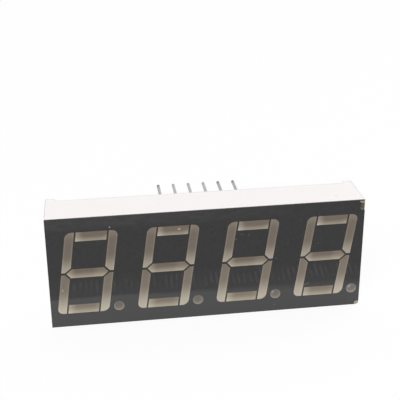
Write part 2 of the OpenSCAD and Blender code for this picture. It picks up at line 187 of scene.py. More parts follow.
def edge_shade(tree, place):
    """A mask of painted shade on the outer edges of the case, all but the front one."""
    across, depth, height = add(tree, "SeparateXYZ", {0: place}, "X").node.outputs
    rounded = add(tree, "Bevel", {"Radius": 0.3 * MM}, samples=6)
    straight = add(tree, "NewGeometry", take="True Normal")
    edge = add(tree, "VectorMath", {0: rounded, 1: straight}, "Value", operation="DOT_PRODUCT")
    edge = add(tree, "MapRange", {"Value": edge, "From Min": 0.99, "From Max": 0.85,
                                  "To Max": 0.8})
    behind = add(tree, "MapRange", {"Value": depth, "From Min": -7.0 * MM,
                                    "From Max": -6.6 * MM})
    aside = add(tree, "Math", {0: across}, operation="ABSOLUTE")
    aside = add(tree, "MapRange", {"Value": aside, "From Min": case_w / 2 - 1.25 * MM,
                                   "From Max": case_w / 2 - 0.85 * MM})
    off_middle = add(tree, "Math", {0: height, 1: mid_height}, operation="SUBTRACT")
    off_middle = add(tree, "Math", {0: off_middle}, operation="ABSOLUTE")
    off_middle = add(tree, "MapRange", {"Value": off_middle, "From Min": mid_height - 1.0 * MM,
                                        "From Max": mid_height - 0.7 * MM})
    outer = add(tree, "Math", {0: aside, 1: off_middle}, operation="MAXIMUM")
    edge = add(tree, "Math", {0: edge, 1: behind}, operation="MULTIPLY")
    return add(tree, "Math", {0: edge, 1: outer}, operation="MULTIPLY")


def tray_floor_shade(tree, place):
    """A mask of painted shade on the floor of the board's tray, which faces rearward at the board's
    front.
    """
    depth = add(tree, "SeparateXYZ", {0: place}, "Y")
    level = add(tree, "Math", {0: depth, 1: board_front, 2: 0.02 * MM}, operation="COMPARE")
    straight = add(tree, "NewGeometry", take="True Normal")
    rearward = add(tree, "SeparateXYZ", {0: straight}, "Y")
    rearward = add(tree, "Math", {0: rearward, 1: 0.5}, operation="GREATER_THAN")
    return add(tree, "Math", {0: level, 1: rearward}, operation="MULTIPLY")


def old_glue(tree, place):
    """The tone of the film's browned adhesive: dark off the edge and along the top, whitened where
    it tore, and rubbed off down to the moulding at the low corner."""
    across, depth, height = add(tree, "SeparateXYZ", {0: place}, "X").node.outputs
    off_edge = add(tree, "MapRange", {"Value": across, "From Min": case_w / 2 - 0.25 * MM,
                                      "From Max": case_w / 2 - 0.33 * MM})
    at_top = add(tree, "MapRange", {"Value": height, "From Min": case_h - 0.28 * MM,
                                    "From Max": case_h - 0.16 * MM})
    dark = add(tree, "Math", {0: off_edge, 1: at_top}, operation="MAXIMUM")
    low_corner = round_marks(tree, place, marks_at(film_back / MM, (25.0, 0.3, 0.9)))
    tone = scuffed(tree, place, "#5d4b33", "#97865f")
    for mask, over in (
        (dark, linear("#5a544f")),
        (low_corner, scuffed(tree, place, *bare_moulding)),
        (round_marks(tree, place, torn, 0.1), linear(whitened)),
    ):
        tone = add(tree, "Mix", {"Factor": mask, "A": tone, "B": over}, data_type="RGBA")
    return tone


# Moulded white polycarbonate: satin, a touch warm, with soft edges. It is mottled by a few
# hundredths, carries the handling specks of a part that has lain loose, and has painted shade
# greying its outer edges. Its tray's floor, seen only through the board's holes, is painted dark
# as shade.
case_plastic, tree = new_material("polycarbonate_moulded_white")
place = add(tree, "TexCoord", take="Object")
cloud = add(tree, "TexNoise", {"Vector": place, "Scale": 1 / (9 * MM), "Detail": 4})
tone = add(tree, "Mix", {"Factor": cloud, "A": linear("#f8f4f4"), "B": linear("#f4efee")},
           data_type="RGBA")
specks = round_marks(tree, place, [(x, y, case_h / MM, r) for x, y, r in (
    (-9.2, -5.3, 0.2), (-7.2, -4.0, 0.2), (21.0, -5.1, 0.24), (-17.2, -3.1, 0.12),
)])
specks = add(tree, "Math", {0: specks, 1: 0.25}, operation="MULTIPLY")
depth = add(tree, "SeparateXYZ", {0: place}, "Y")
glued_front = add(tree, "Math", {0: depth, 1: film_back + 0.02 * MM}, operation="LESS_THAN")
# Painted shade greys the outer edges and darkens the tray's floor; the specks and the glue are
# real.
for mask, over in (
    (specks, linear("#b59a6c")),
    (edge_shade(tree, place), linear("#aeaaad")),
    (tray_floor_shade(tree, place), linear("#4a4138")),
    (glued_front, old_glue(tree, place)),
):
    tone = add(tree, "Mix", {"Factor": mask, "A": tone, "B": over}, data_type="RGBA")
grain = add(tree, "TexNoise", {"Vector": place, "Scale": 1 / (0.22 * MM), "Detail": 2})
soft_edge = add(tree, "Bevel", {"Radius": 0.07 * MM}, samples=6)
skin = add(tree, "Bump", {"Height": grain, "Strength": 0.12, "Distance": 0.03 * MM,
                          "Normal": soft_edge})
gloss = add(tree, "MapRange", {"Value": cloud, "To Min": 0.42, "To Max": 0.52})
surface = add(tree, "BsdfPrincipled", {"Base Color": tone, "Roughness": gloss, "Normal": skin,
                                       "IOR": 1.58, "Specular IOR Level": 0.4})
add(tree, "OutputMaterial", {"Surface": surface})
dress(["housing"], case_plastic)


# ---- Face film ----
# A black-printed polycarbonate film is glued over the front and punched out at each segment. It
# darkens the face so that unlit segments recede.
wave_period = 2 * math.pi / 20  # of a wave texture at scale 1


def painted_sheen_and_smear(tree, place, cloud):
    """A grey painted reflection of the floor along the film's foot, ending ever more sharply to the
    right, a thinner one up to the middle, and a smeared grey band along the top edge, most at the
    left."""
    parts = add(tree, "SeparateXYZ", {0: place}, "X").node
    across, height = parts.outputs["X"], parts.outputs["Z"]
    wander = add(tree, "Math", {0: cloud, 1: 0.9 * MM, 2: height}, operation="MULTIPLY_ADD")
    blur = add(tree, "MapRange", {"Value": across, "From Min": -10 * MM, "From Max": 20 * MM,
                                  "To Min": 5.1 * MM, "To Max": 3.6 * MM})
    low = add(tree, "MapRange", {"Value": wander, "From Min": 5.75 * MM, "From Max": blur,
                                 "To Max": 0.74}, interpolation_type="SMOOTHSTEP")
    thin = add(tree, "MapRange", {"Value": wander, "From Min": 10.5 * MM, "From Max": 4 * MM,
                                  "To Max": 0.26}, interpolation_type="SMOOTHSTEP")
    top = add(tree, "MapRange", {"Value": wander, "From Min": 16.9 * MM, "From Max": 18.4 * MM,
                                 "To Max": 0.34}, interpolation_type="SMOOTHSTEP")
    leftward = add(tree, "MapRange", {"Value": across, "From Min": 18 * MM, "From Max": -8 * MM,
                                      "To Min": 0.25, "To Max": 1})
    drawn_out = add(tree, "Mapping", {"Vector": place, "Rotation": (0, math.radians(35), 0),
                                      "Scale": (0.3 / MM, 1 / MM, 1.6 / MM)})
    smear = add(tree, "TexNoise", {"Vector": drawn_out, "Scale": 1.2, "Detail": 3})
    smear = add(tree, "MapRange", {"Value": smear, "From Min": 0.35, "From Max": 0.65,
                                   "To Min": 0.35, "To Max": 1.1})
    top = add(tree, "Math", {0: top, 1: leftward}, operation="MULTIPLY")
    haze = add(tree, "Math", {0: top, 1: smear, 2: low}, operation="MULTIPLY_ADD")
    haze = add(tree, "Math", {0: haze, 1: thin})
    sideways = add(tree, "MapRange", {"Value": across, "From Min": -case_w / 2,
                                      "From Max": case_w / 2, "To Min": 0.06, "To Max": -0.06})
    return add(tree, "Math", {0: haze, 1: sideways})


def faint_strokes(tree, place):
    """Faint strokes a millimetre apart, in a band above the foot. They are upright at the left and
    lean ever more to the right, and they end at different heights."""
    parts = add(tree, "SeparateXYZ", {0: place}, "X").node
    across, height = parts.outputs["X"], parts.outputs["Z"]
    slope = add(tree, "MapRange", {"Value": across, "From Min": -20 * MM, "From Max": 20 * MM,
                                   "To Min": -0.08, "To Max": 0.36})
    line = add(tree, "Math", {0: height, 1: slope, 2: across}, operation="MULTIPLY_ADD")
    line = add(tree, "CombineXYZ", {"X": line})
    strokes = add(tree, "TexWave", {"Vector": line, "Scale": wave_period / (0.974 * MM),
                                    "Distortion": 1.8, "Detail": 1, "Detail Scale": 0.8},
                  "Fac", bands_direction="X")
    strokes = add(tree, "MapRange", {"Value": strokes, "From Min": 0.3, "From Max": 0.95},
                  interpolation_type="SMOOTHSTEP")
    shift = add(tree, "TexNoise", {"Vector": line, "Scale": 1 / (0.9 * MM), "Detail": 1})
    shifted = add(tree, "Math", {0: shift, 1: -3 * MM, 2: height}, operation="MULTIPLY_ADD")
    band_top = add(tree, "MapRange", {"Value": shifted, "From Min": 6.9 * MM,
                                      "From Max": 6.2 * MM}, interpolation_type="SMOOTHSTEP")
    band_foot = add(tree, "MapRange", {"Value": shifted, "From Min": 3.9 * MM,
                                       "From Max": 4.5 * MM}, interpolation_type="SMOOTHSTEP")
    band_start = add(tree, "MapRange", {"Value": across, "From Min": -23.5 * MM,
                                        "From Max": -21.5 * MM})
    faint = add(tree, "TexNoise", {"Vector": place, "Scale": 1 / (2.4 * MM), "Detail": 1})
    faint = add(tree, "MapRange", {"Value": faint, "From Min": 0.38, "From Max": 0.64,
                                   "To Min": 0.06, "To Max": 0.4})
    for share in (band_top, band_foot, band_start, faint):
        strokes = add(tree, "Math", {0: strokes, 1: share}, operation="MULTIPLY")
    return strokes


# Satin black film: it mirrors the room faintly, under a painted reflection of the floor along its
# foot, a smear along its top, and faint strokes.
film_plastic, tree = new_material("polycarbonate_film_printed_black")
place = add(tree, "TexCoord", take="Object")
cloud = add(tree, "TexNoise", {"Vector": place, "Scale": 1 / (5 * MM), "Detail": 5})
dust = add(tree, "TexNoise", {"Vector": place, "Scale": 1 / (0.6 * MM), "Detail": 5,
                              "Roughness": 0.75})
dust = add(tree, "MapRange", {"Value": dust, "From Min": 0.34, "From Max": 0.66})
tone = add(tree, "Mix", {"Factor": dust, "A": linear("#222222"), "B": linear("#2b2b2b")},
           data_type="RGBA")
sheen_and_strokes = add(tree, "Math", {0: painted_sheen_and_smear(tree, place, cloud), 1: faint_strokes(tree, place)})
face = film_front / MM
specks = round_marks(tree, place, marks_at(
    face, (-15.28, 17.15, 0.11), (-3.2, 6.2, 0.07), (10.9, 1.15, 0.06),
))
scratch = [(x, 4.4 + 0.29 * (x - 15.62), 0.15) for x in (15.62, 15.8, 15.98, 16.16, 16.34, 16.52)]
dull_specks = round_marks(tree, place, marks_at(
    face, (5.35, 14.37, 0.13), (6.5, 14.17, 0.12), (4.5, 13.55, 0.15), (17.8, 11.9, 0.12),
    (11.0, 9.7, 0.12), *scratch,
), 0.06)
# At its torn corners the film is stained by its adhesive, whitened where it was bent, and bare.
stain = round_marks(tree, place, marks_at(
    face, (24.62, 18.2, 0.2), (24.62, 17.95, 0.18), (24.45, 17.7, 0.14), (24.8, 17.85, 0.14),
), 0.14)
grey_spot = round_marks(tree, place, marks_at(
    face, (24.6, 17.45, 0.22), (24.78, 17.42, 0.18), (24.72, 17.6, 0.12),
), 0.1)
bared = round_marks(tree, place, marks_at(
    face, (24.66, 0.1, 0.3), (24.66, 0.36, 0.3), (24.85, 0.2, 0.34), (24.9, 0.44, 0.3),
), 0.05)
# The grey along the foot is painted reflection; the specks, stains and bared patches are the film's
# own.
for mask, over in (
    (sheen_and_strokes, linear("#464646")),
    (specks, linear("#b8b6b0")),
    (dull_specks, linear("#555653")),
    (stain, linear("#57523f")),
    (round_marks(tree, place, torn, 0.1), linear(whitened)),
    (grey_spot, linear("#65635f")),
    (bared, scuffed(tree, place, *bare_moulding)),
):
    tone = add(tree, "Mix", {"Factor": mask, "A": tone, "B": over}, data_type="RGBA")
# The punched and cut edges show the film's brown core.
facing = add(tree, "NewGeometry", take="True Normal")
front = add(tree, "Math", {0: add(tree, "SeparateXYZ", {0: facing}, "Y"), 1: -0.5},
            operation="LESS_THAN")
tone = add(tree, "Mix", {"Factor": front, "A": linear("#3a2c24"), "B": tone}, data_type="RGBA")
grain = add(tree, "TexNoise", {"Vector": place, "Scale": 1 / (0.3 * MM), "Detail": 3})
skin = add(tree, "Bump", {"Height": grain, "Strength": 0.08, "Distance": 0.02 * MM})
gloss = add(tree, "MapRange", {"Value": cloud, "To Min": 0.26, "To Max": 0.36})
surface = add(tree, "BsdfPrincipled", {"Base Color": tone, "Roughness": gloss, "Normal": skin,
                                       "IOR": 1.5, "Specular IOR Level": 0.36})
add(tree, "OutputMaterial", {"Surface": surface})
dress(["face_film"], film_plastic)

# Crumbs of the brown adhesive stick to the bared moulding.
old_adhesive, tree = new_material("acrylic_adhesive_browned")
place = add(tree, "TexCoord", take="Object")
dirt = add(tree, "TexNoise", {"Vector": place, "Scale": 1 / (0.08 * MM), "Detail": 3})
tone = add(tree, "Mix", {"Factor": dirt, "A": linear("#3c2f1f"), "B": linear("#9c8450")},
           data_type="RGBA")
skin = add(tree, "Bump", {"Height": dirt, "Strength": 0.5, "Distance": 0.02 * MM})
surface = add(tree, "BsdfPrincipled", {"Base Color": tone, "Roughness": 0.4, "Normal": skin})
add(tree, "OutputMaterial", {"Surface": surface})

chance = random.Random(7)
crumbs = bmesh.new()
# Each crumb's distance in from the right edge, distance down from the top and size, in mm.
for inward, down, size in (
    (0.3, 0.2, 0.09), (0.12, 0.12, 0.07), (0.26, 0.75, 0.08), (0.2, 1.0, 0.07), (0.24, 1.2, 0.06),
    (0.2, 18.75, 0.07), (0.1, 18.68, 0.05), (0.28, 18.88, 0.05),
):
    middle = Vector((cad_high.x - inward * MM, film_back - 0.3 * size * MM, case_h - down * MM))
    flattened = Vector((1, 0.45, 0.8)) * size * MM
    for v in bmesh.ops.create_icosphere(crumbs, subdivisions=2, radius=1)["verts"]:
        v.co *= 1 + 0.25 * (chance.random() - 0.5)
        v.co = middle + v.co * flattened
new_piece("adhesive_crumbs", crumbs, old_adhesive)


# ---- Light sources ----
# Each segment has one gallium phosphide die, glued to a copper pad on the front of the board, and
# a gold wire that is bonded from its top to the pad beside it.
# Sawn gallium phosphide: a dull, dark glassy block with a frosted cut.
die_crystal, tree = new_material("gallium_phosphide_sawn")
place = add(tree, "TexCoord", take="Object")
cut = add(tree, "TexNoise", {"Vector": place, "Scale": 1 / (0.04 * MM), "Detail": 2})
tone = add(tree, "Mix", {"Factor": cut, "A": linear("#a8a294"), "B": linear("#c2bba8")},
           data_type="RGBA")
skin = add(tree, "Bump", {"Height": cut, "Strength": 0.3, "Distance": 0.005 * MM})
surface = add(tree, "BsdfPrincipled", {"Base Color": tone, "Roughness": 0.35, "Normal": skin})
add(tree, "OutputMaterial", {"Surface": surface})
digits = range(1, 5)
dress([f"led_dice_{d}" for d in digits], die_crystal)

# Drawn gold wire, 30 microns thick: a bright yellow hair.
bond_gold, tree = new_material("gold_drawn_wire")
place = add(tree, "TexCoord", take="Object")
drawn = add(tree, "TexNoise", {"Vector": place, "Scale": 1 / (0.02 * MM)})
gloss = add(tree, "MapRange", {"Value": drawn, "To Min": 0.18, "To Max": 0.32})
surface = add(tree, "BsdfPrincipled", {"Base Color": linear("#e8c46a"), "Metallic": 1,
                                       "Roughness": gloss})
add(tree, "OutputMaterial", {"Surface": surface})
dress([f"bond_wires_{d}" for d in digits], bond_gold)


# ---- Segments ----
# Milky epoxy is cast into the wells from the back, round the dice, with the face down on tape,
# so it ends flush with the film. Each node is the resin of one segment.
digit_pitch = 12.7 * MM
digit_lean = math.radians(8)
bar_pitch = 6.35 * MM
upright_pitch = 7.314 * MM
upright_centre = 3.375 * MM
point_centre = 4.7 * MM
point_radius = 0.85 * MM


def from_spot(tree, across, spot):
    """How far a place lies along X from that spot of the digit that it is on."""
    moved = add(tree, "Math", {0: across, 1: spot - 0.5 * digit_pitch}, operation="SUBTRACT")
    return add(tree, "Math", {0: moved, 1: 0.5 * digit_pitch, 2: -0.5 * digit_pitch},
               operation="WRAP")


def from_digit_line(tree, across, up):
    """How far a place lies along X from the leaning middle line of the digit that it is on."""
    upright = add(tree, "Math", {0: up, 1: -math.tan(digit_lean), 2: across},
                  operation="MULTIPLY_ADD")
    return from_spot(tree, upright, 0)


def bar_painted_light(tree, across, up):
    """Painted light on a level bar: palest along its foot and at its left end, where light from
    the upper right falls on the well's walls.
    """
    within = add(tree, "Math", {0: up, 1: 0.5 * bar_pitch, 2: -0.5 * bar_pitch}, operation="WRAP")
    painted_light = add(tree, "MapRange", {"Value": within, "From Min": 0.4 * MM, "From Max": -1.05 * MM,
                                  "To Min": -0.08, "To Max": 0.42},
               interpolation_type="SMOOTHSTEP")
    # The middle bar's ends are pointed, so their light falls off nearer to its middle.
    off_middle = add(tree, "Math", {0: up}, operation="ABSOLUTE")
    pointed = add(tree, "Math", {0: off_middle, 1: 2 * MM}, operation="LESS_THAN")
    along = from_digit_line(tree, across, up)
    along = add(tree, "Math", {0: pointed, 1: 0.75 * MM, 2: along}, operation="MULTIPLY_ADD")
    for near, far, most in ((-0.9 * MM, -2.5 * MM, 0.36), (1.3 * MM, 2.6 * MM, 0.1)):
        end = add(tree, "MapRange", {"Value": along, "From Min": near, "From Max": far,
                                     "To Max": most}, interpolation_type="SMOOTHSTEP")
        painted_light = add(tree, "Math", {0: painted_light, 1: end})
    return painted_light


def upright_painted_light(tree, across, up):
    """Painted light on an upright: palest at its foot, and a little paler at its rounded top and
    its sides.
    """
    upper = add(tree, "Math", {0: up, 1: 0.0}, operation="GREATER_THAN")
    within = add(tree, "Math", {0: up, 1: upright_pitch, 2: 0.0}, operation="WRAP")
    reach = add(tree, "Math", {0: upper, 1: -1.3 * MM, 2: 4.5 * MM}, operation="MULTIPLY_ADD")
    most = add(tree, "Math", {0: upper, 1: -0.2, 2: 0.62}, operation="MULTIPLY_ADD")
    foot = add(tree, "MapRange", {"Value": within, "From Min": reach, "From Max": 0.1 * MM,
                                  "To Max": most}, interpolation_type="SMOOTHSTEP")
    top = add(tree, "MapRange", {"Value": up, "From Min": 5.4 * MM, "From Max": 7.1 * MM,
                                 "To Max": 0.11}, interpolation_type="SMOOTHSTEP")
    aside = from_digit_line(tree, across, up)
    aside = add(tree, "Math", {0: aside}, operation="ABSOLUTE")
    aside = add(tree, "Math", {0: aside, 1: upright_centre}, operation="SUBTRACT")
    aside = add(tree, "Math", {0: aside}, operation="ABSOLUTE")
    side = add(tree, "MapRange", {"Value": aside, "From Min": 0.35 * MM, "From Max": 0.68 * MM,
                                  "To Max": 0.09}, interpolation_type="SMOOTHSTEP")
    painted_light = add(tree, "Math", {0: foot, 1: top})
    return add(tree, "Math", {0: painted_light, 1: side})


def point_painted_light(tree, across, up):
    """Painted light on a point: paler round its rim, least at the top."""
    past = from_spot(tree, across, point_centre)
    above = add(tree, "Math", {0: up, 1: bar_pitch})
    out = add(tree, "CombineXYZ", {"X": past, "Z": above})
    out = add(tree, "VectorMath", {0: out}, "Value", operation="LENGTH")
    rim = add(tree, "MapRange", {"Value": out, "From Min": 0.4 * MM, "From Max": point_radius,
                                 "To Max": 0.2}, interpolation_type="SMOOTHSTEP")
    low = add(tree, "MapRange", {"Value": above, "From Min": point_radius,
                                 "From Max": -0.3 * MM, "To Min": 0.1})
    foot = add(tree, "MapRange", {"Value": above, "From Min": 0.2 * MM,
                                  "From Max": -point_radius, "To Min": -0.17, "To Max": -0.04},
               interpolation_type="SMOOTHSTEP")
    return add(tree, "Math", {0: rim, 1: low, 2: foot}, operation="MULTIPLY_ADD")


# Milky grey-brown epoxy: the front lets a fifth of the light in, and the walls of the well show
# through it, paler near the face and darkened with painted shade towards the board.
def milky_resin(name, painted_light_of, foot_light_share, tones, flecks_and_glints, fleck_and_glint_tone, ragged=0):
    """Milky epoxy in two cloudy tones and a pale one of painted light, which is also mixed in
    towards the foot of the digit by a share, as painted light from above. Flecks on its face have
    a tone of their own; on the points they are painted glints."""
    material, tree = new_material(name)
    place = add(tree, "TexCoord", take="Object")
    parts = add(tree, "SeparateXYZ", {0: place}, "X").node
    across, depth, height = parts.outputs
    up = add(tree, "Math", {0: height, 1: mid_height}, operation="SUBTRACT")

    in_film = add(tree, "Math", {0: depth, 1: film_back - 0.01 * MM}, operation="LESS_THAN")
    # Painted shade: the well's walls darken with depth from the face to the board.
    depth_shade = add(tree, "MapRange", {"Value": depth, "From Min": film_back, "From Max": board_front})
    depth_shade = add(tree, "Math", {0: depth_shade, 1: 0.6}, operation="POWER")
    wall_tone = add(tree, "Mix", {"Factor": depth_shade, "A": linear("#e6dccb"),
                                  "B": linear("#4c443a")}, data_type="RGBA")
    wall_tone = add(tree, "Mix", {"Factor": in_film, "A": wall_tone, "B": linear("#2b2623")},
                    data_type="RGBA")
    walls = add(tree, "BsdfPrincipled", {"Base Color": wall_tone, "Roughness": 0.6,
                                         "Specular IOR Level": 0})

    # Painted light from above: the digit is paler towards its foot, and each segment where light
    # falls on its well's walls.
    light_from_above = add(tree, "MapRange", {"Value": up, "From Min": 7 * MM, "From Max": -7 * MM})
    light_from_above = add(tree, "Math", {0: light_from_above, 1: 1.8}, operation="POWER")
    painted_light = add(tree, "Math", {0: light_from_above, 1: foot_light_share, 2: painted_light_of(tree, across, up)},
               operation="MULTIPLY_ADD")
    cloud = add(tree, "TexNoise", {"Vector": place, "Scale": 1 / (1.2 * MM), "Detail": 3})
    grey, brown, pale = (linear(code) for code in tones)
    milk_tone = add(tree, "Mix", {"Factor": cloud, "A": grey, "B": brown}, data_type="RGBA")
    milk_tone = add(tree, "Mix", {"Factor": painted_light, "A": milk_tone, "B": pale}, data_type="RGBA")
    # On the points the flecks are painted glints at the upper left.
    fleck_and_glint = round_marks(tree, place, marks_at(face, *flecks_and_glints), ragged)
    milk_tone = add(tree, "Mix", {"Factor": fleck_and_glint, "A": milk_tone, "B": linear(fleck_and_glint_tone)},
                    data_type="RGBA")
    ripple = add(tree, "TexNoise", {"Vector": place, "Scale": 1 / (0.5 * MM), "Detail": 2})
    skin = add(tree, "Bump", {"Height": ripple, "Strength": 0.06, "Distance": 0.03 * MM})
    gloss = add(tree, "MapRange", {"Value": cloud, "To Min": 0.3, "To Max": 0.42})
    milk = add(tree, "BsdfPrincipled", {"Base Color": milk_tone, "Roughness": gloss,
                                        "Normal": skin, "IOR": 1.52})
    clear = add(tree, "BsdfTransparent", {"Color": linear("#fbf2e6")})
    front = add(tree, "MixShader", {"Fac": 0.2, 1: milk, 2: clear})

    at_face = add(tree, "Math", {0: depth, 1: film_front + 0.03 * MM}, operation="LESS_THAN")
    surface = add(tree, "MixShader", {"Fac": at_face, 1: walls, 2: front})
    add(tree, "OutputMaterial", {"Surface": surface})
    return material


# The third tone of each is the pale one of its painted light.
bar_resin = milky_resin("epoxy_cast_milky_bar", bar_painted_light, 0.28, ("#746961", "#7c6f5c", "#e2d7bf"),
                        [(-4.62, 16.05, 0.17), (-4.42, 16.07, 0.17)], "#cdb47c")
upright_resin = milky_resin("epoxy_cast_milky_upright", upright_painted_light, 0.2,
                            ("#746961", "#7c6f5c", "#e4dac6"),
                            [(-23.1, 6.68, 0.15), (-23.06, 6.5, 0.13)], "#b5b0a6", 0.05)
# The points' two pale flecks are painted highlights.
point_resin = milky_resin("epoxy_cast_milky_point", point_painted_light, 0.2,
                          ("#77706c", "#7d756e", "#e2d7bf"),
                          [(10.58, 3.52, 0.3), (23.36, 3.56, 0.4)], "#a09f9b")
for d in digits:
    dress([f"digit_{d}_{s}" for s in "adg"], bar_resin)
    dress([f"digit_{d}_{s}" for s in "bcef"], upright_resin)
    dress([f"digit_{d}_point"], point_resin)


# ---- Circuit board ----
# A one millimetre board in dark glass-filled epoxy closes the wells and carries the dice on its
# front and the tracks on its rear. It is drilled for the pins, posts and plated holes.
# Glass-filled epoxy laminate: near-black brown, with the weave of the cloth just to be seen. Its
# threads are half a millimetre apart and are drawn at one, so that they show.
laminate, tree = new_material("glass_epoxy_laminate_dark")
place = add(tree, "TexCoord", take="Object")
warp, weft = (add(tree, "TexWave", {"Vector": place, "Scale": wave_period / (1.005 * MM),
                                    "Distortion": 1.5}, "Fac", bands_direction=direction)
              for direction in "XZ")
weave = add(tree, "Math", {0: warp, 1: weft}, operation="MULTIPLY")
tone = add(tree, "Mix", {"Factor": weave, "A": linear("#2a2623"), "B": linear("#3b3530")},
           data_type="RGBA")
skin = add(tree, "Bump", {"Height": weave, "Strength": 0.2, "Distance": 0.02 * MM})
surface = add(tree, "BsdfPrincipled", {"Base Color": tone, "Roughness": 0.5, "Normal": skin})
add(tree, "OutputMaterial", {"Surface": surface})
dress(["circuit_board"], laminate)


# ---- Copper ----
# The tracks on the rear and the pads on the front are etched from copper foil.
# Etched copper gone tan under a flux film: hardly metallic, blotched and paler in places.
foil, tree = new_material("copper_foil_etched")
place = add(tree, "TexCoord", take="Object")
cloud = add(tree, "TexNoise", {"Vector": place, "Scale": 1 / (2.5 * MM), "Detail": 5,
                               "Roughness": 0.65})
tone = add(tree, "Mix", {"Factor": cloud, "A": linear("#c0ad97"), "B": linear("#d3c0aa")},
           data_type="RGBA")
paler = add(tree, "TexNoise", {"Vector": place, "Scale": 1 / (7 * MM), "Detail": 4,
                               "Roughness": 0.6})
paler = add(tree, "MapRange", {"Value": paler, "From Min": 0.38, "From Max": 0.62})
tone = add(tree, "Mix", {"Factor": paler, "A": tone, "B": linear("#f0ddc4")}, data_type="RGBA")
blotch = add(tree, "TexNoise", {"Vector": place, "Scale": 1 / (0.8 * MM), "Detail": 3})
blotch = add(tree, "MapRange", {"Value": blotch, "From Min": 0.58, "From Max": 0.75})
tone = add(tree, "Mix", {"Factor": blotch, "A": tone, "B": linear("#9f8b75")}, data_type="RGBA")
skin = add(tree, "Bump", {"Height": cloud, "Strength": 0.15, "Distance": 0.03 * MM})
gloss = add(tree, "MapRange", {"Value": cloud, "To Min": 0.35, "To Max": 0.55})
surface = add(tree, "BsdfPrincipled", {"Base Color": tone, "Metallic": 0.2, "Roughness": gloss,
                                       "Normal": skin})
add(tree, "OutputMaterial", {"Surface": surface})
dress(["rear_copper", "front_pads"], foil)


# ---- Pins and solder ----
# Twelve round pins of tinned steel wire go through the board in two rows of six, and each is
# soldered to its ring of copper at the rear.
# Hot-tinned steel wire: bright grey, with dull patches where the tin has oxidised. It is duller at
# the cut ends, most on the outer pins.
tinned_steel, tree = new_material("steel_wire_hot_tinned")
place = add(tree, "TexCoord", take="Object")
along = add(tree, "Mapping", {"Vector": place, "Scale": (1 / MM, 0.25 / MM, 1 / MM)})
drawn = add(tree, "TexNoise", {"Vector": along, "Scale": 2.5, "Detail": 4})
tone = add(tree, "Mix", {"Factor": drawn, "A": linear("#a3a3a6"), "B": linear("#c6c5c4")},
           data_type="RGBA")
parts = add(tree, "SeparateXYZ", {0: place}, "X").node
off_middle = add(tree, "Math", {0: parts.outputs["X"], 1: 1.2 * MM})
off_middle = add(tree, "Math", {0: off_middle}, operation="ABSOLUTE")
dull = add(tree, "MapRange", {"Value": off_middle, "From Min": 2.6 * MM, "From Max": 4.8 * MM,
                              "To Min": 0.25, "To Max": 1})
tip = add(tree, "MapRange", {"Value": parts.outputs["Y"], "From Min": 6.0 * MM,
                             "From Max": 6.9 * MM, "To Min": 0.2, "To Max": 1})
dull = add(tree, "Math", {0: dull, 1: tip}, operation="MULTIPLY")
tone = add(tree, "Mix", {"Factor": dull, "A": tone, "B": linear("#7f7b79")}, data_type="RGBA")
gloss = add(tree, "MapRange", {"Value": drawn, "To Min": 0.24, "To Max": 0.5})
skin = add(tree, "Bump", {"Height": drawn, "Strength": 0.15, "Distance": 0.02 * MM})
surface = add(tree, "BsdfPrincipled", {"Base Color": tone, "Metallic": 1, "Roughness": gloss,
                                       "Normal": skin})
add(tree, "OutputMaterial", {"Surface": surface})
pins = range(1, 13)
dress([f"pin_{n}" for n in pins], tinned_steel)

# Tin-lead solder, frozen from the melt: brighter than the pins, and faintly wrinkled.
solder, tree = new_material("solder_reflowed")
place = add(tree, "TexCoord", take="Object")
frost = add(tree, "TexNoise", {"Vector": place, "Scale": 1 / (0.25 * MM), "Detail": 3})
tone = add(tree, "Mix", {"Factor": frost, "A": linear("#a9aaad"), "B": linear("#cfd0d1")},
           data_type="RGBA")
gloss = add(tree, "MapRange", {"Value": frost, "To Min": 0.16, "To Max": 0.36})
skin = add(tree, "Bump", {"Height": frost, "Strength": 0.2, "Distance": 0.03 * MM})
surface = add(tree, "BsdfPrincipled", {"Base Color": tone, "Metallic": 1, "Roughness": gloss,
                                       "Normal": skin})
add(tree, "OutputMaterial", {"Surface": surface})
dress(["solder_joints"], solder)


# ---- Shade and paste in the plated holes ----
# Most of the board's plated holes are dark: a dark disc sits a little low in each, as painted
# shade down the hole. Seven more holes are closed with milky epoxy paste from the rear, which
# stands in a low dome.
def turn(shape, x, z, profile, sides=24):
    """Adds a closed turned body, from a profile of radius and depth in mm, about x and z."""
    rings = []
    for r, y in profile:
        count = 1 if r == 0 else sides
        rings.append([shape.verts.new(Vector((
            x + r * math.cos(2 * math.pi * i / sides), y, z + r * math.sin(2 * math.pi * i / sides),
        )) * MM) for i in range(count)])
    for one, two in zip(rings, rings[1:]):
        for i in range(sides):
            j = (i + 1) % sides
            corners = [one[i % len(one)], one[j % len(one)], two[j % len(two)], two[i % len(two)]]
            shape.faces.new([v for k, v in enumerate(corners) if v not in corners[:k]])


copper_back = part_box("rear_copper")[1].y / MM

# Painted shade in the holes: brown-black, dull discs with a slightly wrinkled skin.
hole_shade, tree = new_material("hole_shade_painted_dark")
place = add(tree, "TexCoord", take="Object")
wrinkle = add(tree, "TexNoise", {"Vector": place, "Scale": 1 / (0.35 * MM), "Detail": 3})
tone = add(tree, "Mix", {"Factor": wrinkle, "A": linear("#332e2b"), "B": linear("#4c4540")},
           data_type="RGBA")
skin = add(tree, "Bump", {"Height": wrinkle, "Strength": 0.4, "Distance": 0.05 * MM})
surface = add(tree, "BsdfPrincipled", {"Base Color": tone, "Roughness": 0.5, "Normal": skin})
add(tree, "OutputMaterial", {"Surface": surface})

